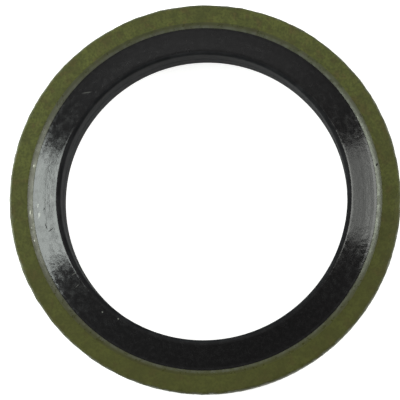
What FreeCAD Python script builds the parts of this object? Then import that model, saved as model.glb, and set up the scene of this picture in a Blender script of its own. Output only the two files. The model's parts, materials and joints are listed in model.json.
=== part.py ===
import FreeCAD, Part
import math
import os
import Sketcher

# A drain plug seal ring: a punched steel ring with a rubber seal moulded into its bore. The Z axis is the
# axis of the bore, and the origin is its centre, half way up the ring. Lengths are in millimetres.

# Every driving dimension, with what it measures.
SIZES = {
    "bore_diameter": (16.0, "across the clear bore of the rubber, for the drain plug's shank"),
    "rubber_width": (1.65, "from the bore out to the edge of the steel that the rubber is bonded to"),
    "steel_width": (1.35, "from that edge out to the rim of the steel ring"),
    "steel_thickness": (1.5, "the strip that the ring is punched from"),
    "bevel_width": (0.32, "the coined bevel beside the rubber, across the face"),
    "bevel_depth": (0.12, "the same bevel, down from the face"),
    "roll_radius": (0.15, "the rounding that the punch leaves round the upper rim"),
    "break_width": (0.06, "the tumbled edge round the lower rim"),
    "lip_rise": (0.75, "how far each rubber lip stands proud of the steel"),
    "lip_radius": (0.20, "the rounding of each lip into the bore"),
}

# The steel's rim, the wall where the rubber is bonded to it, and the straight wall between the rubber's lips.
BORE_RADIUS = "Sizes.bore_diameter / 2"
BOND_RADIUS = f"{BORE_RADIUS} + Sizes.rubber_width"
RIM_RADIUS = f"{BOND_RADIUS} + Sizes.steel_width"
BOND_HEIGHT = "Sizes.steel_thickness - 2 * Sizes.bevel_depth"
BORE_HEIGHT = "Sizes.steel_thickness + 2 * (Sizes.lip_rise - Sizes.lip_radius)"

# How near two round edges lie to count as one.
SAME_PLACE = 1e-6

# A sketch's own numbers for the ends and centre of a curve, and for its horizontal axis and its origin.
START, END, CENTRE = 1, 2, 3
HORIZONTAL_AXIS = -1
ORIGIN = (HORIZONTAL_AXIS, START)
SKETCH_NORMAL = FreeCAD.Vector(0, 0, 1)


def add_size_sheet(document):
    """Writes the driving dimensions to a spreadsheet, one aliased cell each."""
    sheet = document.addObject("Spreadsheet::Sheet", "Sizes")
    for row, (name, (value, meaning)) in enumerate(SIZES.items(), start=1):
        sheet.set(f"A{row}", name)
        sheet.set(f"B{row}", str(value))
        sheet.setAlias(f"B{row}", name)
        sheet.set(f"C{row}", meaning)
    document.recompute()
    return sheet


def add_body(document, name, label):
    """Adds an empty body whose label names the finished piece."""
    body = document.addObject("PartDesign::Body", name)
    body.Label = label
    body.Placement = FreeCAD.Placement()
    return body


def add_sketch(body, name, plane):
    """Adds a sketch on one of the body's own origin planes."""
    sketch = body.newObject("Sketcher::SketchObject", name)
    origin_plane = next(feature for feature in body.Origin.OriginFeatures if feature.Role == plane)
    sketch.AttachmentSupport = [(origin_plane, "")]
    sketch.MapMode = "FlatFace"
    return sketch


def add_dimension(sketch, name, constraint, expression):
    """Adds a named dimension to a sketch and binds it to the sheet."""
    sketch.renameConstraint(sketch.addConstraint(constraint), name)
    sketch.setExpression(f"Constraints.{name}", expression)


def ring_edge(shape, radius, height):
    """Returns the name of the round edge that has this radius and lies at this height."""
    for number, edge in enumerate(shape.Edges, start=1):
        circle = edge.Curve
        if not isinstance(circle, Part.Circle):
            continue
        if abs(circle.Radius - radius) < SAME_PLACE and abs(circle.Center.z - height) < SAME_PLACE:
            return f"Edge{number}"
    raise ValueError(f"no edge of radius {radius:.3f} at height {height:.3f}")


def build_steel_ring(document, sheet):
    """Punches the flat ring, coins a bevel round both ends of its bore and rounds its rims."""
    body = add_body(document, "SteelRing", "steel_ring")
    bond_radius = sheet.bore_diameter / 2 + sheet.rubber_width
    rim_radius = bond_radius + sheet.steel_width
    face_height = sheet.steel_thickness / 2

    outline = add_sketch(body, "RingOutline", "XY_Plane")
    circles = [Part.Circle(FreeCAD.Vector(), SKETCH_NORMAL, radius) for radius in (bond_radius, rim_radius)]
    bond_circle, rim_circle = outline.addGeometry(circles)
    for circle in (bond_circle, rim_circle):
        outline.addConstraint(Sketcher.Constraint("Coincident", circle, CENTRE, *ORIGIN))
    across_the_bond = Sketcher.Constraint("Radius", bond_circle, bond_radius)
    across_the_rim = Sketcher.Constraint("Radius", rim_circle, rim_radius)
    add_dimension(outline, "bond_radius", across_the_bond, BOND_RADIUS)
    add_dimension(outline, "rim_radius", across_the_rim, RIM_RADIUS)

    blank = body.newObject("PartDesign::Pad", "PunchedBlank")
    blank.Profile = outline
    blank.SideType = "Symmetric"
    blank.setExpression("Length", "Sizes.steel_thickness")
    document.recompute()

    bevel = body.newObject("PartDesign::Chamfer", "BoreBevel")
    bevel.Base = (blank, [ring_edge(blank.Shape, bond_radius, side * face_height) for side in (1, -1)])
    bevel.ChamferType = "Two distances"
    bevel.setExpression("Size", "Sizes.bevel_depth")
    bevel.setExpression("Size2", "Sizes.bevel_width")
    document.recompute()

    roll = body.newObject("PartDesign::Fillet", "RolledRim")
    roll.Base = (bevel, [ring_edge(bevel.Shape, rim_radius, face_height)])
    roll.setExpression("Radius", "Sizes.roll_radius")
    document.recompute()

    tumbled = body.newObject("PartDesign::Chamfer", "TumbledRim")
    tumbled.Base = (roll, [ring_edge(roll.Shape, rim_radius, -face_height)])
    tumbled.setExpression("Size", "Sizes.break_width")
    document.recompute()
    return body


def seal_outline(sheet):
    """Works out the rubber's section from straight lines and the two rounded lips.

    In order it is the bonded wall, upper cone, upper lip, bore wall, lower lip and lower cone.
    """
    bore_radius = sheet.bore_diameter / 2
    bond_radius = bore_radius + sheet.rubber_width
    bond_height = sheet.steel_thickness / 2 - sheet.bevel_depth
    lip_height = sheet.steel_thickness / 2 + sheet.lip_rise
    lip_centre = (bore_radius + sheet.lip_radius, lip_height - sheet.lip_radius)

    # The cone leaves the bonded wall's corner and is tangent to the lip.
    across = bond_radius - lip_centre[0]
    along = bond_height - lip_centre[1]
    tangent_angle = math.atan2(along, across) + math.acos(sheet.lip_radius / math.hypot(across, along))
    tangent_point = (
        lip_centre[0] + sheet.lip_radius * math.cos(tangent_angle),
        lip_centre[1] + sheet.lip_radius * math.sin(tangent_angle),
    )

    def point(place, side):
        return FreeCAD.Vector(place[0], side * place[1], 0)

    def lip(side, start_angle, end_angle):
        circle = Part.Circle(point(lip_centre, side), SKETCH_NORMAL, sheet.lip_radius)
        return Part.ArcOfCircle(circle, start_angle, end_angle)

    bond = (bond_radius, bond_height)
    bore = (bore_radius, lip_centre[1])
    return [
        Part.LineSegment(point(bond, -1), point(bond, 1)),
        Part.LineSegment(point(bond, 1), point(tangent_point, 1)),
        lip(1, tangent_angle, math.pi),
        Part.LineSegment(point(bore, 1), point(bore, -1)),
        lip(-1, math.pi, 2 * math.pi - tangent_angle),
        Part.LineSegment(point(tangent_point, -1), point(bond, -1)),
    ]


def build_rubber_seal(document, sheet):
    """Turns the moulded section of the rubber round the bore's axis."""
    body = add_body(document, "RubberSeal", "rubber_seal")
    section = add_sketch(body, "SealSection", "XZ_Plane")
    outline = seal_outline(sheet)
    bond_wall, upper_cone, upper_lip, bore_wall, lower_lip, lower_cone = section.addGeometry(outline)
    joints = [
        ("Coincident", bond_wall, END, upper_cone, START),
        ("Tangent", upper_cone, END, upper_lip, START),
        ("Tangent", upper_lip, END, bore_wall, START),
        ("Tangent", bore_wall, END, lower_lip, START),
        ("Tangent", lower_lip, END, lower_cone, START),
        ("Coincident", lower_cone, END, bond_wall, START),
    ]
    for joint in joints:
        section.addConstraint(Sketcher.Constraint(*joint))
    section.addConstraint(Sketcher.Constraint("Equal", upper_lip, lower_lip))
    for wall in (bond_wall, bore_wall):
        section.addConstraint(Sketcher.Constraint("Symmetric", wall, START, wall, END, HORIZONTAL_AXIS))

    bond_line, _, lip_arc, bore_line, _, _ = outline
    out_to_the_bond = Sketcher.Constraint("DistanceX", *ORIGIN, bond_wall, START, bond_line.StartPoint.x)
    out_to_the_bore = Sketcher.Constraint("DistanceX", *ORIGIN, bore_wall, START, bore_line.StartPoint.x)
    up_the_bond = Sketcher.Constraint("DistanceY", bond_wall, START, bond_wall, END, bond_line.length())
    up_the_bore = Sketcher.Constraint("DistanceY", bore_wall, END, bore_wall, START, bore_line.length())
    round_the_lip = Sketcher.Constraint("Radius", upper_lip, lip_arc.Radius)
    add_dimension(section, "bond_radius", out_to_the_bond, BOND_RADIUS)
    add_dimension(section, "bore_radius", out_to_the_bore, BORE_RADIUS)
    add_dimension(section, "bond_height", up_the_bond, BOND_HEIGHT)
    add_dimension(section, "bore_height", up_the_bore, BORE_HEIGHT)
    add_dimension(section, "lip_radius", round_the_lip, "Sizes.lip_radius")

    moulding = body.newObject("PartDesign::Revolution", "MouldedRing")
    moulding.Profile = section
    moulding.ReferenceAxis = (section, ["V_Axis"])
    moulding.Angle = 360
    document.recompute()
    return body


def check_document(document, bodies):
    """Stops if any feature failed, a sketch is loose or a piece isn't one sound solid."""
    for item in document.Objects:
        if "Invalid" in item.State or "Error" in item.State:
            raise RuntimeError(f"{item.Name} failed: {item.State}")
        if item.isDerivedFrom("Sketcher::SketchObject") and not item.FullyConstrained:
            raise RuntimeError(f"{item.Name} isn't fully constrained")
    for body in bodies:
        if body.Shape.isNull() or not body.Shape.isValid() or len(body.Shape.Solids) != 1:
            raise RuntimeError(f"{body.Label} isn't one sound solid")


def main():
    """Builds the document, checks it and writes one file for each piece."""
    document = FreeCAD.newDocument("seal_ring")
    sheet = add_size_sheet(document)
    bodies = [build_steel_ring(document, sheet), build_rubber_seal(document, sheet)]
    document.recompute()
    check_document(document, bodies)
    os.makedirs("parts", exist_ok=True)
    for body in bodies:
        body.Shape.exportStep(f"parts/{body.Label}.step")
        print(f"{body.Label}: {body.Shape.Volume:.3f} cubic mm, {len(body.Shape.Faces)} faces")


main()
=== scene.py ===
import json
import logging
import math
from collections.abc import Callable, Iterable
from dataclasses import dataclass, field
from enum import Enum

import bmesh
import bpy
from mathutils import Matrix, Vector


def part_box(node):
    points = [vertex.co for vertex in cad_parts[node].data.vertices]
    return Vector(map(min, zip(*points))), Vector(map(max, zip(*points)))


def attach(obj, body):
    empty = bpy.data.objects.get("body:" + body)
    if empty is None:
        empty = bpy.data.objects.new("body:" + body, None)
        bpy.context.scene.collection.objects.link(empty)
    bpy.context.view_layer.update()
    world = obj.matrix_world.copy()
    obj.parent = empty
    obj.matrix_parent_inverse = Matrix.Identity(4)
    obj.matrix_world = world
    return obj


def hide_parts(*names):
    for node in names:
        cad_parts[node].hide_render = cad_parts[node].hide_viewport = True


# A drain plug seal ring: an olive chromated steel ring with a black rubber seal moulded into its bore.
# It lies on a pale floor, and the camera looks down on it.
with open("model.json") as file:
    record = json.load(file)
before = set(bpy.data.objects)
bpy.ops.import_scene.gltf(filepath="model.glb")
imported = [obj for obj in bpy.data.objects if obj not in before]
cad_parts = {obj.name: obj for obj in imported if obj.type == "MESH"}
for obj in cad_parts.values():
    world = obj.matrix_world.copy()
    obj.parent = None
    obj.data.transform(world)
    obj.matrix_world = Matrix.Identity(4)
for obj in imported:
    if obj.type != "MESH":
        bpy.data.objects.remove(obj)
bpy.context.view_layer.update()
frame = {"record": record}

logging.basicConfig(level=logging.INFO, format="%(name)s: %(message)s")
log = logging.getLogger("seal_ring")

MM = 0.001
TO_MM = 1000.0
AXIS = (0.0, 0.0, 1.0)
ORIGIN = (0.0, 0.0, 0.0)

# How near a point of a section lies to the place that it is picked by, and how near two points or levels
# lie to count as one.
PICK_REACH = 0.004 * MM
SAME_POINT = 0.0005 * MM
SAME_LEVEL = 0.00005 * MM

# Faces that meet at more than this, in degrees, keep a sharp edge between them.
SHARP_ANGLE = 40.0

# How much of a pattern's height the light sees on every finish.
BUMP_STRENGTH = 0.6


class Side(Enum):
    """The two faces of the ring, as the sign of their height."""

    UPPER = 1
    LOWER = -1


class Part(Enum):
    """What an edit-mode pick selects."""

    POINTS = "VERT"
    EDGES = "EDGE"
    FACES = "FACE"


def linear(hex_colour: str) -> tuple[float, float, float, float]:
    """Turns an sRGB hex colour into linear red, green, blue and alpha.

    Args:
        hex_colour: Six hex digits after a hash sign.

    Returns:
        The linear colour with full alpha.
    """
    channels = [int(hex_colour[place : place + 2], 16) / 255.0 for place in (1, 3, 5)]
    red, green, blue = (c / 12.92 if c <= 0.04045 else ((c + 0.055) / 1.055) ** 2.4 for c in channels)
    return (red, green, blue, 1.0)


# Modelling by hand: objects, edit mode and picks.


def clear_selection() -> None:
    """Leaves nothing selected, because an operator acts on all that is."""
    bpy.ops.object.select_all(action="DESELECT")


def start_piece(name: str) -> bpy.types.Object:
    """Names the primitive that was just added and applies its place, so that the object sits at the origin.

    Args:
        name: The piece's name.

    Returns:
        The piece, selected and active.
    """
    piece = bpy.context.object
    piece.name = name
    piece.data.name = name
    bpy.ops.object.transform_apply(location=True, rotation=True, scale=True)
    return piece


def pick(piece: bpy.types.Object, part: Part, test: Callable[[Vector], bool]) -> int:
    """Selects the points, edges or faces in edit mode whose middle passes a test, and nothing else.

    Args:
        piece: The object that is in edit mode.
        part: Whether points, edges or faces are picked.
        test: Takes the middle of each and says whether it is wanted.

    Returns:
        How many were picked.
    """
    bpy.ops.mesh.select_mode(type=part.value)
    bpy.ops.mesh.select_all(action="DESELECT")
    mesh = bmesh.from_edit_mesh(piece.data)
    if part is Part.POINTS:
        wanted = [point for point in mesh.verts if test(point.co)]
    elif part is Part.EDGES:
        wanted = [edge for edge in mesh.edges if test((edge.verts[0].co + edge.verts[1].co) / 2)]
    else:
        wanted = [face for face in mesh.faces if test(face.calc_center_median())]
    for element in wanted:
        element.select_set(True)
    bmesh.update_edit_mesh(piece.data)
    return len(wanted)


def near(radius: float, height: float, reach: float = PICK_REACH) -> Callable[[Vector], bool]:
    """Makes a test for what lies at a radius and height of the section.

    Args:
        radius: Distance from the axis, in metres.
        height: Height above the middle of the ring, in metres.
        reach: How far off a point may lie.

    Returns:
        The test.
    """
    return lambda place: math.hypot(place.x - radius, place.z - height) < reach


def round_corner(
    piece: bpy.types.Object, radius: float, height: float, rounding: float, steps: int, corner: float = 90.0
) -> None:
    """Rounds one corner of a flat section to a true arc.

    Args:
        piece: The section, in edit mode.
        radius: The corner's distance from the axis.
        height: The corner's height.
        rounding: Radius of the arc.
        steps: How many facets it has.
        corner: Angle between the corner's two sides, in degrees.
    """
    half = math.radians(corner) / 2
    profile = ((1 + 2 * math.sin(half)) / (2 + 2 * math.sin(half))) ** 2
    if not pick(piece, Part.POINTS, near(radius, height)):
        raise ValueError(f"{piece.name} has no corner at {radius * TO_MM:.3f}, {height * TO_MM:.3f}")
    bpy.ops.mesh.bevel(offset=rounding / math.tan(half), segments=steps, affect="VERTICES", profile=profile)


def divide_side(
    piece: bpy.types.Object, radius: float, height: float, cuts: int, reach: float = 0.1 * MM
) -> None:
    """Cuts one side of a flat section into equal lengths.

    Args:
        piece: The section, in edit mode.
        radius: Distance of the side's middle from the axis.
        height: Height of the side's middle.
        cuts: How many points are added.
        reach: How far off the side's middle may lie.
    """
    if not pick(piece, Part.EDGES, near(radius, height, reach)):
        raise ValueError(f"{piece.name} has no side at {radius * TO_MM:.3f}, {height * TO_MM:.3f}")
    bpy.ops.mesh.subdivide(number_cuts=cuts)


def turn_section(piece: bpy.types.Object, steps: int) -> None:
    """Spins a flat section round the bore's axis into a closed ring with its faces outwards.

    Args:
        piece: The section, in edit mode.
        steps: How many facets the ring has round its rim.
    """
    bpy.ops.mesh.select_mode(type="VERT")
    bpy.ops.mesh.select_all(action="SELECT")
    bpy.ops.mesh.delete(type="ONLY_FACE")
    bpy.ops.mesh.select_all(action="SELECT")
    bpy.ops.mesh.spin(steps=steps, angle=math.tau, center=ORIGIN, axis=AXIS, use_auto_merge=True)
    bpy.ops.mesh.select_all(action="SELECT")
    bpy.ops.mesh.remove_doubles(threshold=SAME_POINT)
    bpy.ops.mesh.normals_make_consistent(inside=False)


def group_points(piece: bpy.types.Object, name: str, test: Callable[[Vector], bool]) -> None:
    """Puts the points that pass a test into a vertex group.

    Args:
        piece: The object, in object mode.
        name: The group's name.
        test: Takes a point's place and says whether it is in.
    """
    group = piece.vertex_groups.new(name=name)
    group.add([point.index for point in piece.data.vertices if test(point.co)], 1.0, "REPLACE")


def roughen(piece: bpy.types.Object, group: str, grain: float, depth: float, middle: float) -> None:
    """Presses an uneven surface into a vertex group with a cloud texture, and applies it.

    Args:
        piece: The object, in object mode.
        group: The vertex group that is roughened.
        grain: Size of the unevenness, in metres.
        depth: Height of the unevenness, in metres.
        middle: The texture's level that stays in place: 1 only presses inwards.
    """
    texture = bpy.data.textures.new(f"{piece.name}_{group}", type="CLOUDS")
    texture.noise_scale = grain
    texture.noise_depth = 2
    modifier = piece.modifiers.new(group, "DISPLACE")
    modifier.texture = texture
    modifier.texture_coords = "LOCAL"
    modifier.vertex_group = group
    modifier.strength = depth
    modifier.mid_level = middle
    bpy.ops.object.modifier_apply(modifier=modifier.name)
    bpy.data.textures.remove(texture)


def finish_piece(piece: bpy.types.Object, *finishes: bpy.types.Material) -> None:
    """Smooths a piece between its sharp edges and gives it its finishes, the first of them all over.

    Args:
        piece: The object, in object mode.
        *finishes: Its materials, in order.
    """
    bpy.ops.object.shade_smooth_by_angle(angle=math.radians(SHARP_ANGLE))
    piece.data.materials.clear()
    for finish in finishes:
        piece.data.materials.append(finish)


def assign_finish(piece: bpy.types.Object, number: int, test: Callable[[Vector], bool]) -> None:
    """Gives one of a piece's finishes to the faces whose middle passes a test.

    Args:
        piece: The object, in object mode.
        number: The finish's number, from 0.
        test: Takes the middle of a face and says whether it is wanted.
    """
    bpy.ops.object.mode_set(mode="EDIT")
    pick(piece, Part.FACES, test)
    piece.active_material_index = number
    bpy.ops.object.material_slot_assign()
    bpy.ops.object.mode_set(mode="OBJECT")


# Materials: one function adds a node, and each finish is a class of its own.


def new_finish(name: str) -> tuple[bpy.types.Material, bpy.types.ShaderNodeTree]:
    """Makes an empty material that uses nodes.

    Args:
        name: The material's name.

    Returns:
        The material and its node tree.
    """
    material = bpy.data.materials.new(name)
    material.use_nodes = True
    material.node_tree.nodes.clear()
    return material, material.node_tree


def add_node(
    tree: bpy.types.ShaderNodeTree, kind: str, settings: dict[str, object] | None = None, **inputs: object
) -> bpy.types.ShaderNode:
    """Adds a node with its settings, input values and links.

    Args:
        tree: The node tree.
        kind: The node's type name, without the ShaderNode that all begin with.
        settings: Properties of the node, such as its operation.
        **inputs: A value or another node's output for each input. An input is named by its name with
            underscores for spaces, or by a letter and its number, such as i0.

    Returns:
        The node.
    """
    node = tree.nodes.new(f"ShaderNode{kind}")
    for name, value in (settings or {}).items():
        setattr(node, name, value)
    for name, value in inputs.items():
        numbered = name[0] == "i" and name[1:].isdigit()
        socket = node.inputs[int(name[1:])] if numbered else node.inputs[name.replace("_", " ")]
        if isinstance(value, bpy.types.NodeSocket):
            tree.links.new(value, socket)
        else:
            socket.default_value = value
    return node


@dataclass
class Steps:
    """The sums, steps and mixes that a finish or the room is made of, in one node tree."""

    tree: bpy.types.ShaderNodeTree

    def total(self, *shares: tuple[bpy.types.NodeSocket, float]) -> bpy.types.NodeSocket:
        """Adds up sockets, each times its share.

        Args:
            *shares: Pairs of a socket and its share.

        Returns:
            The sum's socket.
        """
        (value, share), *others = shares
        added = add_node(self.tree, "Math", {"operation": "MULTIPLY"}, i0=value, i1=share).outputs[0]
        for value, share in others:
            settings = {"operation": "MULTIPLY_ADD"}
            added = add_node(self.tree, "Math", settings, i0=value, i1=share, i2=added).outputs[0]
        return added

    def both(self, first: bpy.types.NodeSocket, second: bpy.types.NodeSocket) -> bpy.types.NodeSocket:
        """Returns a mask that holds as far as two masks both do."""
        return add_node(self.tree, "Math", {"operation": "MULTIPLY"}, i0=first, i1=second).outputs[0]

    def either(self, *masks: bpy.types.NodeSocket) -> bpy.types.NodeSocket:
        """Joins masks.

        Args:
            *masks: The masks' sockets.

        Returns:
            The socket of a mask that holds as far as the strongest of them does.
        """
        joined, *others = masks
        for mask in others:
            joined = add_node(self.tree, "Math", {"operation": "MAXIMUM"}, i0=joined, i1=mask).outputs[0]
        return joined

    def step(
        self, value: bpy.types.NodeSocket, low: float, high: float, start: float = 0.0, end: float = 1.0
    ) -> bpy.types.NodeSocket:
        """Maps a value to a smooth step, which falls instead of rising if low is above high.

        Args:
            value: What is mapped.
            low: The level at which the step starts.
            high: The level at which it ends.
            start: The result at the low level and beyond it.
            end: The result at the high level and beyond it.

        Returns:
            The result's socket.
        """
        settings = {"interpolation_type": "SMOOTHSTEP", "clamp": True}
        if low > high:
            low, high, start, end = high, low, end, start
        levels = {"From_Min": low, "From_Max": high, "To_Min": start, "To_Max": end}
        return add_node(self.tree, "MapRange", settings, Value=value, **levels).outputs["Result"]

    def blend(self, amount: object, first: object, second: object) -> bpy.types.NodeSocket:
        """Mixes two colours by an amount and returns the result's socket."""
        settings = {"data_type": "RGBA", "clamp_factor": True}
        return add_node(self.tree, "Mix", settings, i0=amount, i6=first, i7=second).outputs[2]


@dataclass
class Surface(Steps):
    """Where a point of the ring lies, as sockets in millimetres, for the patterns of its finishes."""

    place: bpy.types.NodeSocket = field(init=False)
    radius: bpy.types.NodeSocket = field(init=False)
    height: bpy.types.NodeSocket = field(init=False)

    def __post_init__(self) -> None:
        """Adds the nodes that work the places out."""
        coordinates = add_node(self.tree, "TexCoord").outputs["Object"]
        scaled = add_node(self.tree, "VectorMath", {"operation": "SCALE"}, i0=coordinates, Scale=TO_MM)
        self.place = scaled.outputs[0]
        flat = add_node(
            self.tree, "VectorMath", {"operation": "MULTIPLY"}, i0=self.place, i1=(1.0, 1.0, 0.0)
        ).outputs[0]
        self.radius = add_node(self.tree, "VectorMath", {"operation": "LENGTH"}, i0=flat).outputs["Value"]
        self.height = add_node(self.tree, "SeparateXYZ", i0=self.place).outputs["Z"]

    def clouds(self, size: float, detail: float = 3.0, seed: float = 0.0) -> bpy.types.NodeSocket:
        """Adds a cloudy pattern with a level about one half, mostly from 0.3 to 0.7.

        Args:
            size: Size of its patches, in millimetres.
            detail: How many finer layers it holds.
            seed: A number that makes it differ from others of the same size.

        Returns:
            The level's socket.
        """
        inputs = {"Vector": self.place, "W": seed, "Scale": 1.0 / size, "Detail": detail, "Roughness": 0.55}
        return add_node(self.tree, "TexNoise", {"noise_dimensions": "4D"}, **inputs).outputs[0]


@dataclass(frozen=True)
class Mark:
    """A small mark on the upper face, as an ellipse in millimetres from the bore's axis.

    The angle is that of its long side, in degrees from the X axis.
    """

    x: float
    y: float
    length: float
    width: float
    angle: float = 0.0

    def mask(self, surface: Surface) -> bpy.types.NodeSocket:
        """Adds the mark's mask.

        Args:
            surface: The places and steps of the material.

        Returns:
            The mask's socket, 1 in the middle of the mark and 0 from its edge.
        """
        shape = add_node(
            surface.tree,
            "Mapping",
            {"vector_type": "TEXTURE"},
            Vector=surface.place,
            Location=(self.x, self.y, 0.0),
            Rotation=(0.0, 0.0, math.radians(self.angle)),
            Scale=(self.length / 2, self.width / 2, TO_MM),
        ).outputs[0]
        out = add_node(surface.tree, "VectorMath", {"operation": "LENGTH"}, i0=shape).outputs["Value"]
        return surface.step(out, 1.0, 0.35)


def any_of(surface: Surface, marks: Iterable[Mark]) -> bpy.types.NodeSocket:
    """Joins the masks of several marks into one."""
    return surface.either(*(mark.mask(surface) for mark in marks))


@dataclass(frozen=True)
class OliveChromate:
    """Olive drab chromate over zinc plate on a punched steel strip.

    The chromate is a thin matt film, so the eye sees a dull olive with a fine grain and cloudy brown and
    green patches. Its colour is painted darker towards -Y, a painted shade of the light falling off across
    the ring. The film is rubbed through to grey zinc on the rim's corners and along the bevel's inner edge.
    On the rim's wall the punch drew upright streaks, and the lower part tore and holds more of the film.
    The film's own grain is too fine to show, so it is drawn 0.08 mm coarse.

    Sizes are in millimetres, and shares run from 0 to 1. A band is the two distances, from the rim, the
    face or the rubber, between which a look fades in, or for the torn part the two heights.
    """

    name: str = "olive_chromate_on_rolled_strip"
    olive: str = "#52542a"
    moss: str = "#595d2d"
    brown: str = "#554d2b"
    shade: str = "#3c3f20"
    # Painted shade: the film's colour is mixed towards this darker colour towards -Y, where the light falls
    # off.
    painted_shade_colour: str = "#3e3d0f"
    zinc: str = "#9a9c96"
    pit: str = "#191b10"
    patch_size: float = 1.3
    mottle_size: float = 0.4
    speck_size: float = 0.13
    rub_size: float = 0.4
    thin_size: float = 0.25
    grain_size: float = 0.08
    grain_depth: float = 0.012
    streak_size: float = 0.12
    streak_squeeze: float = 0.12
    brown_share: float = 0.85
    mottle_share: float = 0.42
    speck_share: float = 0.6
    painted_shade_share: float = 0.55
    streak_share: float = 0.45
    torn_share: float = 0.35
    chip_share: float = 0.7
    # Painted shade: the direction and the reach, in millimetres, over which the film is painted darker.
    painted_shade_direction: tuple[float, float, float] = (0.15, -1.0, 0.0)
    painted_shade_reach: float = 10.0
    rim_band: tuple[float, float] = (0.15, 0.05)
    corner_band: tuple[float, float] = (0.22, 0.05)
    bond_band: tuple[float, float] = (0.23, 0.05)
    torn_band: tuple[float, float] = (0.32, 0.12)
    specular: float = 0.25
    smoothest: float = 0.52
    roughest: float = 0.64
    rim_polish: float = 0.12
    torn_roughness: float = 0.15
    chips: tuple[Mark, ...] = (
        Mark(x=-9.79, y=-0.76, length=0.42, width=0.09, angle=86.0),
        Mark(x=-9.61, y=1.88, length=0.20, width=0.10, angle=80.0),
        Mark(x=-9.54, y=-2.34, length=0.15, width=0.09, angle=100.0),
        Mark(x=-9.70, y=-1.62, length=0.12, width=0.08, angle=95.0),
    )
    pits: tuple[Mark, ...] = (
        Mark(x=9.65, y=1.80, length=0.26, width=0.17, angle=60.0),
        Mark(x=-8.97, y=-1.49, length=0.34, width=0.05, angle=70.0),
    )

    def film(self, surface: Surface, specks: bpy.types.NodeSocket) -> bpy.types.NodeSocket:
        """Mixes the colour of the film where nothing has rubbed or torn it, painted darker towards -Y as a
        painted shade.

        Args:
            surface: The places and steps of the material.
            specks: The pattern of the fine dark specks.

        Returns:
            The colour's socket.
        """
        mossy = surface.step(surface.clouds(self.patch_size, seed=1.0), 0.42, 0.60)
        browned = surface.clouds(self.patch_size / 2, seed=2.0)
        browned = surface.step(browned, 0.50, 0.66, 0.0, self.brown_share)
        mottled = surface.clouds(self.mottle_size, seed=3.0)
        mottled = surface.step(mottled, 0.56, 0.38, 0.0, self.mottle_share)
        specked = surface.step(specks, 0.60, 0.36, 0.0, self.speck_share)
        # Painted shade: the colour darkens across the whole ring towards -Y, where the light falls off.
        towards_shade = add_node(
            surface.tree, "VectorMath", {"operation": "DOT_PRODUCT"}, i0=surface.place, i1=self.painted_shade_direction
        ).outputs["Value"]
        painted_shade = surface.step(towards_shade, -self.painted_shade_reach, self.painted_shade_reach, 0.0, self.painted_shade_share)
        colour = surface.blend(mossy, linear(self.olive), linear(self.moss))
        colour = surface.blend(browned, colour, linear(self.brown))
        colour = surface.blend(mottled, colour, linear(self.shade))
        colour = surface.blend(specked, colour, linear(self.shade))
        return surface.blend(painted_shade, colour, linear(self.painted_shade_colour))

    def make(self, sizes: "RingSizes") -> bpy.types.Material:
        """Builds the material.

        Args:
            sizes: The ring's sizes, for the places of the bevel and the rim.

        Returns:
            The material.
        """
        material, tree = new_finish(self.name)
        surface = Surface(tree)
        rim, bond = sizes.rim_radius * TO_MM, sizes.bond_radius * TO_MM
        face = sizes.steel_height * TO_MM
        on_rim = surface.step(surface.radius, *(rim - distance for distance in self.rim_band))
        from_middle = add_node(tree, "Math", {"operation": "ABSOLUTE"}, i0=surface.height).outputs[0]
        near_face = surface.step(from_middle, *(face - distance for distance in self.corner_band))
        on_corner = surface.both(on_rim, near_face)
        on_wall = surface.total((on_rim, 1.0), (on_corner, -1.0))
        on_bond_edge = surface.step(surface.radius, *(bond + distance for distance in self.bond_band))

        specks = surface.clouds(self.speck_size, 4.0)
        squeeze = (1.0, 1.0, self.streak_squeeze)
        upright = add_node(tree, "VectorMath", {"operation": "MULTIPLY"}, i0=surface.place, i1=squeeze)
        streaks = add_node(
            tree, "TexNoise", Vector=upright.outputs[0], Scale=1.0 / self.streak_size, Detail=3.0
        ).outputs[0]
        streaked = surface.both(on_wall, surface.step(streaks, 0.60, 0.40, 0.0, self.streak_share))
        torn = surface.both(on_wall, surface.step(surface.height, *self.torn_band))
        darkened = surface.total((streaked, 1.0), (torn, self.torn_share))
        colour = surface.blend(darkened, self.film(surface, specks), linear(self.shade))

        rubbed = surface.step(surface.clouds(self.rub_size, seed=4.0), 0.42, 0.66, 0.08, 0.55)
        thin = surface.step(surface.clouds(self.thin_size, seed=5.0), 0.40, 0.64, 0.10, 0.24)
        rubbed, thin = surface.both(on_corner, rubbed), surface.both(on_bond_edge, thin)
        worn = surface.total((rubbed, 1.0), (thin, 1.0))
        bare = surface.either(worn, surface.total((any_of(surface, self.chips), self.chip_share)))
        colour = surface.blend(bare, colour, linear(self.zinc))
        pitted = any_of(surface, self.pits)
        colour = surface.blend(pitted, colour, linear(self.pit))

        grained = surface.step(specks, 0.3, 0.7, self.smoothest, self.roughest)
        rough = surface.total((grained, 1.0), (on_rim, -self.rim_polish), (torn, self.torn_roughness))
        grain = surface.clouds(self.grain_size, 2.0, seed=6.0)
        relief = surface.total((specks, 0.6), (grain, 0.5), (surface.both(streaks, on_wall), 0.8))
        bump = add_node(
            tree, "Bump", Strength=BUMP_STRENGTH, Distance=self.grain_depth * MM, Height=relief
        ).outputs[0]
        shader = add_node(
            tree,
            "BsdfPrincipled",
            Base_Color=colour,
            Roughness=surface.either(rough, pitted),
            Metallic=bare,
            Specular_IOR_Level=self.specular,
            Normal=bump,
        )
        add_node(tree, "OutputMaterial", Surface=shader.outputs[0])
        return material


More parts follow.
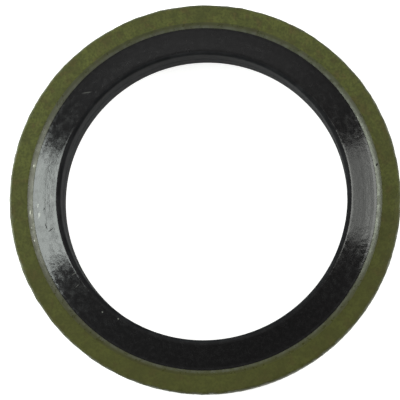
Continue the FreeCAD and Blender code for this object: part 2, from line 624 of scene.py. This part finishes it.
@dataclass(frozen=True)
class MouldedRubber:
    """Black nitrile rubber, compression moulded and vulcanised to the steel.

    The mould was turned and polished, so the cones shine like satin and carry faint rings. Sizes are in
    millimetres, and shares run from 0 to 1.
    """

    black: str = "#1a191a"
    bloom: str = "#212021"
    dust: str = "#93938c"
    ring_spacing: float = 0.09
    cloud_size: float = 0.5
    peel_size: float = 0.2
    fine_size: float = 0.06
    polish_size: float = 0.34
    relief_depth: float = 0.011
    smoothest: float = 0.14
    roughest: float = 0.28
    scratch_roughness: float = 0.5
    scuff_share: float = 0.25
    speck_share: float = 0.7
    scuffs: tuple[Mark, ...] = (
        Mark(x=-6.59, y=5.96, length=0.75, width=0.07, angle=4.0),
        Mark(x=-7.20, y=-4.28, length=0.40, width=0.07, angle=25.0),
        Mark(x=-7.05, y=-4.95, length=0.35, width=0.06, angle=40.0),
    )
    specks: tuple[Mark, ...] = (
        Mark(x=-9.35, y=-0.38, length=0.34, width=0.13, angle=75.0),
        Mark(x=-9.27, y=-0.92, length=0.44, width=0.20, angle=80.0),
        Mark(x=-8.53, y=0.06, length=0.36, width=0.09, angle=95.0),
        Mark(x=-5.63, y=-6.42, length=0.12, width=0.09),
        Mark(x=-4.73, y=-6.81, length=0.12, width=0.09),
    )
    scratches: tuple[Mark, ...] = (
        Mark(x=-8.84, y=-1.58, length=0.50, width=0.10, angle=110.0),
        Mark(x=-8.56, y=-1.80, length=0.42, width=0.10, angle=35.0),
        Mark(x=-8.95, y=-0.60, length=0.24, width=0.08, angle=60.0),
    )

    def make(self) -> bpy.types.Material:
        """Builds the material.

        Returns:
            The material.
        """
        material, tree = new_finish("compression_moulded_nitrile_rubber")
        surface = Surface(tree)
        clouds = surface.clouds(self.cloud_size, 4.0)
        peel = surface.clouds(self.peel_size, 3.0, seed=1.0)
        fine = surface.clouds(self.fine_size, 2.0, seed=2.0)
        across = {"W": surface.radius, "Scale": 1.0 / self.ring_spacing, "Detail": 2.0}
        rings = add_node(tree, "TexNoise", {"noise_dimensions": "1D"}, **across).outputs[0]

        scuffed = surface.total((any_of(surface, self.scuffs), self.scuff_share))
        specked = surface.total((any_of(surface, self.specks), self.speck_share))
        colour = surface.blend(surface.step(peel, 0.42, 0.66), linear(self.black), linear(self.bloom))
        colour = surface.blend(surface.either(scuffed, specked), colour, linear(self.dust))

        polish = surface.clouds(self.polish_size, 2.0, seed=3.0)
        polished = surface.step(polish, 0.38, 0.70, self.smoothest, self.roughest)
        scratched = any_of(surface, self.scratches)
        roughness = surface.total((polished, 1.0), (scratched, self.scratch_roughness))
        relief = surface.total((rings, 0.4), (fine, 0.3), (peel, 1.0), (clouds, 1.3))
        bump = add_node(
            tree, "Bump", Strength=BUMP_STRENGTH, Distance=self.relief_depth * MM, Height=relief
        ).outputs[0]
        shader = add_node(tree, "BsdfPrincipled", Base_Color=colour, Roughness=roughness, Normal=bump)
        add_node(tree, "OutputMaterial", Surface=shader.outputs[0])
        return material


@dataclass(frozen=True)
class BlastedRubber:
    """The same rubber on the bore wall, where it came off the mould's grit-blasted core.

    It is dull and dark, with a fine even grain, drawn a little coarser than the grit so that it shows.
    Sizes are in millimetres.
    """

    black: str = "#18181a"
    bloom: str = "#242426"
    bloom_size: float = 0.8
    grain_size: float = 0.07
    grain_depth: float = 0.01
    specular: float = 0.12
    smoothest: float = 0.75
    roughest: float = 0.9

    def make(self) -> bpy.types.Material:
        """Builds the material.

        Returns:
            The material.
        """
        material, tree = new_finish("nitrile_rubber_off_blasted_core")
        surface = Surface(tree)
        grain = surface.clouds(self.grain_size, 3.0)
        bloomed = surface.step(surface.clouds(self.bloom_size, seed=1.0), 0.40, 0.65)
        bump = add_node(
            tree, "Bump", Strength=BUMP_STRENGTH, Distance=self.grain_depth * MM, Height=grain
        ).outputs[0]
        shader = add_node(
            tree,
            "BsdfPrincipled",
            Base_Color=surface.blend(bloomed, linear(self.black), linear(self.bloom)),
            Roughness=surface.step(grain, 0.3, 0.7, self.smoothest, self.roughest),
            Specular_IOR_Level=self.specular,
            Normal=bump,
        )
        add_node(tree, "OutputMaterial", Surface=shader.outputs[0])
        return material


@dataclass(frozen=True)
class PaleFloor:
    """A plain white table top: matt, so it only takes the ring's shadow."""

    paint: str = "#e6e6e4"
    shown: float = 0.78

    def make(self) -> bpy.types.Material:
        """Builds the material, which the eye and mirrors see a little lighter than it lights.

        Returns:
            The material.
        """
        material, tree = new_finish("matt_white_table_top")
        steps = Steps(tree)
        path = add_node(tree, "LightPath")
        rays = ("Is Camera Ray", "Is Glossy Ray", "Is Transmission Ray")
        seen = steps.either(*(path.outputs[ray] for ray in rays))
        matt = add_node(tree, "BsdfDiffuse", Color=linear(self.paint))
        lift = add_node(tree, "Emission", Strength=steps.total((seen, self.shown)))
        both = add_node(tree, "AddShader", i0=matt.outputs[0], i1=lift.outputs[0])
        add_node(tree, "OutputMaterial", Surface=both.outputs[0])
        return material


# The ring and its two pieces.


@dataclass(frozen=True)
class RingSizes:
    """Sizes of the ring in metres, from the frame where it has them."""

    rim_radius: float
    bond_radius: float
    bore_radius: float
    steel_height: float
    lip_height: float
    bevel_width: float = 0.32 * MM
    bevel_depth: float = 0.12 * MM
    lip_radius: float = 0.20 * MM
    folds: tuple[tuple[float, float], ...] = ((9.50 * MM, 0.028 * MM), (9.04 * MM, 0.034 * MM))

    @classmethod
    def from_frame(cls) -> "RingSizes":
        """Reads the boxes of the two CAD nodes and the bore's mount.

        Returns:
            The sizes.
        """
        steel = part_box("steel_ring")[1]
        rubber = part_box("rubber_seal")[1]
        bore = next(mount for mount in frame["record"]["mounts"] if mount["kind"] == "bore")
        return cls(
            rim_radius=round(steel[0], 6),
            bond_radius=round(rubber[0], 6),
            bore_radius=bore["dims"]["r_mm"] * MM,
            steel_height=round(steel[2], 6),
            lip_height=round(rubber[2], 6),
        )

    @property
    def face_radius(self) -> float:
        """Radius at which the bevel ends and the steel's flat face starts."""
        return self.bond_radius + self.bevel_width

    @property
    def bond_height(self) -> float:
        """Half the height of the wall that the rubber is bonded to."""
        return self.steel_height - self.bevel_depth

    @property
    def lip_centre(self) -> tuple[float, float]:
        """Radius and height of the centre that each lip is rounded about."""
        return (self.bore_radius + self.lip_radius, self.lip_height - self.lip_radius)

    def rise_from(self, radius: float, height: float) -> float:
        """Works out the slope from a place on the rubber up to the lip that it touches.

        Args:
            radius: The place's distance from the axis.
            height: The place's height.

        Returns:
            The slope's angle, in radians.
        """
        across = radius - self.lip_centre[0]
        along = self.lip_centre[1] - height
        return math.atan2(along, across) + math.asin(self.lip_radius / math.hypot(across, along))

    @property
    def cone_points(self) -> list[tuple[float, float]]:
        """Radius and height of the cone's edge at the steel and of its folds, which dip a little."""
        rise = math.tan(self.rise_from(self.bond_radius, self.bond_height))
        points = [(self.bond_radius, self.bond_height)]
        for radius, dip in self.folds:
            points.append((radius, self.bond_height + (self.bond_radius - radius) * rise - dip))
        return points

    @property
    def slopes(self) -> list[float]:
        """Angles of the cone between its folds, from the steel to the lip, in degrees."""
        points = self.cone_points
        pairs = zip(points, points[1:])
        slopes = [math.atan2(inner[1] - outer[1], outer[0] - inner[0]) for outer, inner in pairs]
        return [math.degrees(slope) for slope in (*slopes, self.rise_from(*points[-1]))]

    @property
    def lip_start(self) -> tuple[float, float]:
        """Radius and height at which the cone touches the lip's rounding."""
        slope = math.radians(self.slopes[-1])
        radius, height = self.lip_centre
        return (radius + self.lip_radius * math.sin(slope), height + self.lip_radius * math.cos(slope))

    @property
    def lip_corner(self) -> float:
        """Height at which the cone would meet the bore wall if the lip weren't rounded."""
        radius, height = self.cone_points[-1]
        return height + (radius - self.bore_radius) * math.tan(math.radians(self.slopes[-1]))


@dataclass
class SteelRing:
    """The punched steel ring: flat faces, coined bevels, a rolled upper rim and a tumbled lower edge.

    The punch sheared the upper part of the rim's wall and tore the rest, which tapers inwards. The soft edge
    is where the bevel meets the face, and the bond edge where it meets the rubber.
    """

    sizes: RingSizes
    roll_radius: float = 0.15 * MM
    break_radius: float = 0.06 * MM
    soft_edge: float = 0.20 * MM
    bond_edge: float = 0.01 * MM
    shear_line: float = 0.2 * MM
    breakout: float = 0.035 * MM
    torn_width: float = 0.1 * MM
    rolled_grain: float = 0.55 * MM
    torn_grain: float = 0.25 * MM
    rim_wear: float = 0.06 * MM
    facets: int = 720

    def draw_section(self) -> bpy.types.Object:
        """Draws half of the ring's section, beside the axis.

        Returns:
            The section, in edit mode.
        """
        sizes = self.sizes
        middle = ((sizes.face_radius + sizes.rim_radius) / 2, 0.0, 0.0)
        width = sizes.rim_radius - sizes.face_radius
        clear_selection()
        bpy.ops.mesh.primitive_plane_add(size=1.0, location=middle, rotation=(math.pi / 2, 0.0, 0.0))
        piece = start_piece("punched_steel_ring")
        bpy.ops.object.mode_set(mode="EDIT")
        bpy.ops.mesh.select_all(action="SELECT")
        bpy.ops.transform.resize(value=(width, 1.0, 2 * sizes.steel_height), center_override=middle)
        # The coined bevels: the inner side is drawn in and made shorter.
        pick(piece, Part.EDGES, near(sizes.face_radius, 0.0))
        bpy.ops.mesh.extrude_region_move(TRANSFORM_OT_translate={"value": (-sizes.bevel_width, 0.0, 0.0)})
        shorter = sizes.bond_height / sizes.steel_height
        bpy.ops.transform.resize(value=(1.0, 1.0, shorter), center_override=(sizes.bond_radius, 0.0, 0.0))
        pick(piece, Part.EDGES, near(sizes.face_radius, 0.0))
        bpy.ops.mesh.dissolve_edges(use_verts=False)
        return piece

    def shape_edges(self, piece: bpy.types.Object) -> None:
        """Rounds the corners of the section, and cuts its rim and its faces into shorter lengths.

        Args:
            piece: The section, in edit mode.
        """
        sizes = self.sizes
        bevel_angle = math.degrees(math.atan2(sizes.bevel_depth, sizes.bevel_width))
        for side in Side:
            face, bond = side.value * sizes.steel_height, side.value * sizes.bond_height
            outer, inner = 180.0 - bevel_angle, 90.0 + bevel_angle
            round_corner(piece, sizes.face_radius, face, self.soft_edge, steps=3, corner=outer)
            round_corner(piece, sizes.bond_radius, bond, self.bond_edge, steps=2, corner=inner)
        round_corner(piece, sizes.rim_radius, sizes.steel_height, self.roll_radius, steps=8)
        round_corner(piece, sizes.rim_radius, -sizes.steel_height, self.break_radius, steps=4)
        divide_side(piece, sizes.rim_radius, (self.break_radius - self.roll_radius) / 2, cuts=11)
        self.tear_wall(piece)
        for side in Side:
            face_middle = (sizes.face_radius + sizes.rim_radius) / 2
            divide_side(piece, face_middle, side.value * sizes.steel_height, cuts=5)

    def tear_wall(self, piece: bpy.types.Object) -> None:
        """Tapers the rim's wall inwards below the shear line, more and more towards the lower edge.

        Args:
            piece: The section, in edit mode.
        """
        sizes = self.sizes

        def is_torn(place: Vector) -> bool:
            """Says whether a point lies on the torn part of the wall."""
            return place.x > sizes.rim_radius - 2 * self.break_radius and place.z < self.shear_line

        pick(piece, Part.POINTS, is_torn)
        mesh = bmesh.from_edit_mesh(piece.data)
        levels = sorted({round(point.co.z, 8) for point in mesh.verts if point.select})
        for level in levels:
            pick(piece, Part.POINTS, lambda place: is_torn(place) and abs(place.z - level) < SAME_LEVEL)
            inwards = self.breakout * (self.shear_line - level) / (self.shear_line + sizes.steel_height)
            bpy.ops.transform.translate(value=(-inwards, 0.0, 0.0))

    def wear_rim(self, piece: bpy.types.Object) -> None:
        """Presses a slight unevenness into the rolled edge, and a finer one into the torn wall.

        Args:
            piece: The ring, in object mode.
        """
        rolled, torn = self.sizes.rim_radius - self.roll_radius, self.sizes.rim_radius - self.torn_width
        group_points(piece, "rolled_rim", lambda place: place.xy.length > rolled and place.z > 0)
        group_points(piece, "torn_rim", lambda place: place.xy.length > torn and place.z < self.shear_line)
        roughen(piece, "rolled_rim", grain=self.rolled_grain, depth=self.rim_wear, middle=1.0)
        roughen(piece, "torn_rim", grain=self.torn_grain, depth=self.rim_wear, middle=1.0)

    def build(self, finish: bpy.types.Material, bevel_finish: bpy.types.Material) -> bpy.types.Object:
        """Models the ring and dresses it.

        Args:
            finish: The material of the faces and the rim.
            bevel_finish: The material of the coined bevels.

        Returns:
            The piece.
        """
        piece = self.draw_section()
        self.shape_edges(piece)
        turn_section(piece, self.facets)
        bpy.ops.object.mode_set(mode="OBJECT")
        self.wear_rim(piece)
        finish_piece(piece, finish, bevel_finish)
        assign_finish(piece, 1, lambda place: place.xy.length < self.sizes.face_radius)
        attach(piece, "root")
        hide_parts("steel_ring")
        return piece


@dataclass
class RubberSeal:
    """The moulded rubber ring: a cone on each side, rounded lips and a bore wall with a parting line.

    The mould's core reached a little way round each lip, so the wall's dull finish does too.
    """

    sizes: RingSizes
    seam_radius: float = 0.02 * MM
    fold_rounding: float = 0.4 * MM
    flash_height: float = 0.02 * MM
    flash_width: float = 0.08 * MM
    flash_grain: float = 0.4 * MM
    core_edge: float = 0.185 * MM
    run_reach: float = 0.05 * MM
    facets: int = 720

    def draw_section(self) -> bpy.types.Object:
        """Draws half of the seal's section, beside the axis.

        Returns:
            The section, in edit mode.
        """
        sizes = self.sizes
        middle = ((sizes.bore_radius + sizes.bond_radius) / 2, 0.0, 0.0)
        width = sizes.bond_radius - sizes.bore_radius
        clear_selection()
        bpy.ops.mesh.primitive_plane_add(size=1.0, location=middle, rotation=(math.pi / 2, 0.0, 0.0))
        piece = start_piece("moulded_rubber_seal")
        bpy.ops.object.mode_set(mode="EDIT")
        bpy.ops.mesh.select_all(action="SELECT")
        bpy.ops.transform.resize(value=(width, 1.0, 2 * sizes.bond_height), center_override=middle)
        # The cones: the side at the bore is made taller.
        pick(piece, Part.EDGES, near(sizes.bore_radius, 0.0))
        taller = sizes.lip_corner / sizes.bond_height
        bpy.ops.transform.resize(value=(1.0, 1.0, taller), center_override=(sizes.bore_radius, 0.0, 0.0))
        # The folds: each cone is cut into equal lengths, and the cuts are moved to them.
        rise = sizes.lip_corner - sizes.bond_height
        for side in Side:
            sign = side.value
            divide_side(piece, middle[0], sign * (sizes.bond_height + rise / 2), cuts=len(sizes.folds))
            for number, (radius, height) in enumerate(sizes.cone_points[1:], start=1):
                share = number / (len(sizes.folds) + 1)
                cut_radius = sizes.bond_radius - share * width
                cut_height = sizes.bond_height + share * rise
                pick(piece, Part.POINTS, near(cut_radius, sign * cut_height))
                bpy.ops.transform.translate(value=(radius - cut_radius, 0.0, sign * (height - cut_height)))
        return piece

    def shape_edges(self, piece: bpy.types.Object) -> None:
        """Rounds the lips, the folds and the edge at the steel, and cuts the cones into shorter lengths.

        Args:
            piece: The section, in edit mode.
        """
        sizes = self.sizes
        points, slopes = sizes.cone_points, sizes.slopes
        ends = [*points, sizes.lip_start]
        lip_corner, seam_corner = 90.0 - slopes[-1], 90.0 + slopes[0]
        for side in Side:
            sign = side.value
            lip, seam = sign * sizes.lip_corner, sign * sizes.bond_height
            round_corner(piece, sizes.bore_radius, lip, sizes.lip_radius, steps=16, corner=lip_corner)
            for (radius, height), outer, inner in zip(points[1:], slopes, slopes[1:]):
                fold_corner = 180.0 + outer - inner
                round_corner(piece, radius, sign * height, self.fold_rounding, steps=4, corner=fold_corner)
            round_corner(piece, sizes.bond_radius, seam, self.seam_radius, steps=3, corner=seam_corner)
            for outer, inner in zip(ends, ends[1:]):
                radius, height = (outer[0] + inner[0]) / 2, (outer[1] + inner[1]) / 2
                divide_side(piece, radius, sign * height, cuts=5, reach=self.run_reach)
        self.raise_flash(piece)
        for side in Side:
            divide_side(piece, sizes.bore_radius, side.value * sizes.lip_centre[1] / 2, cuts=5)

    def raise_flash(self, piece: bpy.types.Object) -> None:
        """Raises the mould's parting line half way up the bore wall.

        Args:
            piece: The section, in edit mode.
        """
        bore = self.sizes.bore_radius
        divide_side(piece, bore, 0.0, cuts=1)
        round_corner(piece, bore, 0.0, self.flash_width / 2, steps=4)
        pick(piece, Part.POINTS, near(bore, 0.0, self.flash_width / 8))
        bpy.ops.transform.translate(value=(-self.flash_height, 0.0, 0.0))

    def build(self, finish: bpy.types.Material, wall_finish: bpy.types.Material) -> bpy.types.Object:
        """Models the seal and dresses it.

        Args:
            finish: The material of the cones and the lips.
            wall_finish: The material of the bore wall.

        Returns:
            The piece.
        """
        piece = self.draw_section()
        self.shape_edges(piece)
        turn_section(piece, self.facets)
        bpy.ops.object.mode_set(mode="OBJECT")
        bore = self.sizes.bore_radius
        group_points(piece, "flash", lambda place: place.xy.length < bore - self.flash_height / 2)
        roughen(piece, "flash", grain=self.flash_grain, depth=self.flash_height, middle=1.0)
        finish_piece(piece, finish, wall_finish)
        assign_finish(piece, 1, lambda place: place.xy.length < bore + self.core_edge)
        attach(piece, "root")
        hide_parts("rubber_seal")
        return piece


# The studio.


@dataclass(frozen=True)
class SoftLight:
    """A soft box, placed by where it is seen from the ring.

    Azimuth runs from +X towards +Y and elevation up from the floor, in degrees. Width and height are shares
    of the distance, which is in metres. Brightness 1 is a white surface's.
    """

    name: str
    azimuth: float
    elevation: float
    width: float
    height: float
    brightness: float
    tint: str
    distance: float

    def place(self) -> None:
        """Adds the light, facing the ring."""
        azimuth, elevation = math.radians(self.azimuth), math.radians(self.elevation)
        level = math.cos(elevation)
        away = Vector((level * math.cos(azimuth), level * math.sin(azimuth), math.sin(elevation)))
        clear_selection()
        bpy.ops.object.light_add(type="AREA", location=away * self.distance)
        light = bpy.context.object
        light.name = self.name
        light.rotation_euler = away.to_track_quat("Z", "Y").to_euler()
        light.data.shape = "RECTANGLE"
        light.data.size = self.width * self.distance
        light.data.size_y = self.height * self.distance
        light.data.color = linear(self.tint)[:3]
        area = light.data.size * light.data.size_y
        light.data.energy = self.brightness * math.pi * area


@dataclass(frozen=True)
class Studio:
    """The floor, the lights, the dim room and the camera.

    The photograph's frame is 400 pixels square, and the pixel values say where the ring lies in it.
    """

    sizes: RingSizes
    frame_pixels: float = 400.0
    pixels_to_mm: float = 17.78
    axis_pixels: tuple[float, float] = (204.9, 199.3)
    camera_distance: float = 140.0 * MM
    camera_lean: float = 7.4
    camera_azimuth: float = -63.0
    sensor: float = 36.0
    floor_side: float = 8.0
    room_dark: float = 0.05
    room_light: float = 0.30
    room_ceiling: float = 0.13
    lights: tuple[SoftLight, ...] = (
        SoftLight("left_window", 176.8, 30.0, 0.68, 0.66, 8.0, tint="#f7fffa", distance=110.0 * MM),
        SoftLight("right_window", 9.0, 49.0, 0.54, 0.42, 5.4, tint="#fcfff9", distance=160.0 * MM),
        SoftLight("right_blind", 9.0, 32.0, 0.56, 0.175, 4.9, tint="#fcfff9", distance=160.0 * MM),
        SoftLight("right_sill", 8.0, 20.0, 0.60, 0.245, 2.1, tint="#fcfff9", distance=160.0 * MM),
    )

    def lay_floor(self) -> None:
        """Lays the pale floor under the lower lip."""
        clear_selection()
        bpy.ops.mesh.primitive_plane_add(size=self.floor_side, location=(0.0, 0.0, -self.sizes.lip_height))
        floor = start_piece("table_top")
        floor.data.materials.append(PaleFloor().make())

    def light_room(self) -> None:
        """Makes a dim room that is lighter behind the ring than in front of it, under a dim ceiling."""
        world = bpy.data.worlds.new("dim_room")
        bpy.context.scene.world = world
        world.use_nodes = True
        tree = world.node_tree
        tree.nodes.clear()
        steps = Steps(tree)
        towards = add_node(tree, "SeparateXYZ", i0=add_node(tree, "TexCoord").outputs["Generated"])
        wall = steps.step(towards.outputs["Y"], 0.45, 1.05, self.room_dark, self.room_light)
        overhead = steps.step(towards.outputs["Z"], 0.55, 0.80)
        level = steps.blend(overhead, wall, (self.room_ceiling,) * 3 + (1.0,))
        background = add_node(tree, "Background", Color=(1.0, 1.0, 1.0, 1.0), Strength=level)
        add_node(tree, "OutputWorld", Surface=background.outputs[0])

    def place_camera(self) -> None:
        """Looks down on the ring from a little to the lower right, its axis where the photograph has it."""
        lean, azimuth = math.radians(self.camera_lean), math.radians(self.camera_azimuth)
        level = math.sin(lean)
        away = Vector((level * math.cos(azimuth), level * math.sin(azimuth), math.cos(lean)))
        forward = -away
        right = forward.cross(Vector((0.0, 1.0, 0.0))).normalized()
        up = right.cross(forward)
        pixel = MM / self.pixels_to_mm
        half = self.frame_pixels / 2
        aim = -right * (self.axis_pixels[0] - half) * pixel + up * (self.axis_pixels[1] - half) * pixel
        clear_selection()
        bpy.ops.object.camera_add()
        camera = bpy.context.object
        camera.name = "photo_camera"
        turn = Matrix((right, up, away)).transposed().to_4x4()
        camera.matrix_world = Matrix.Translation(aim + away * self.camera_distance) @ turn
        camera.data.sensor_width = self.sensor
        camera.data.lens = self.sensor * self.camera_distance / (self.frame_pixels * pixel)
        camera.data.clip_start = MM
        bpy.context.scene.camera = camera

    def build(self) -> None:
        """Sets the whole studio up."""
        self.lay_floor()
        for light in self.lights:
            light.place()
        self.light_room()
        self.place_camera()
        bpy.context.scene.view_settings.view_transform = "Standard"


def main() -> None:
    """Builds the seal ring's two pieces and the studio, in order."""
    sizes = RingSizes.from_frame()
    log.info("cones rise at %s degrees", ", ".join(f"{slope:.1f}" for slope in sizes.slopes))
    flat_finish = OliveChromate().make(sizes)
    # The die pressed the bevels smooth, so their film is greyer, shines, and has coarser, fainter specks.
    bevel_finish = OliveChromate(
        name="olive_chromate_on_coined_bevel",
        olive="#45462c",
        moss="#4a4c2f",
        brown="#46432f",
        shade="#3c3d26",
        speck_size=0.28,
        speck_share=0.2,
        grain_depth=0.0045,
        specular=0.58,
        smoothest=0.24,
        roughest=0.40,
    ).make(sizes)
    steel = SteelRing(sizes).build(flat_finish, bevel_finish)
    log.info("%s has %d faces", steel.name, len(steel.data.polygons))
    seal = RubberSeal(sizes).build(MouldedRubber().make(), BlastedRubber().make())
    log.info("%s has %d faces", seal.name, len(seal.data.polygons))
    Studio(sizes).build()
    log.info("studio is lit")


if __name__ == "__main__":
    main()
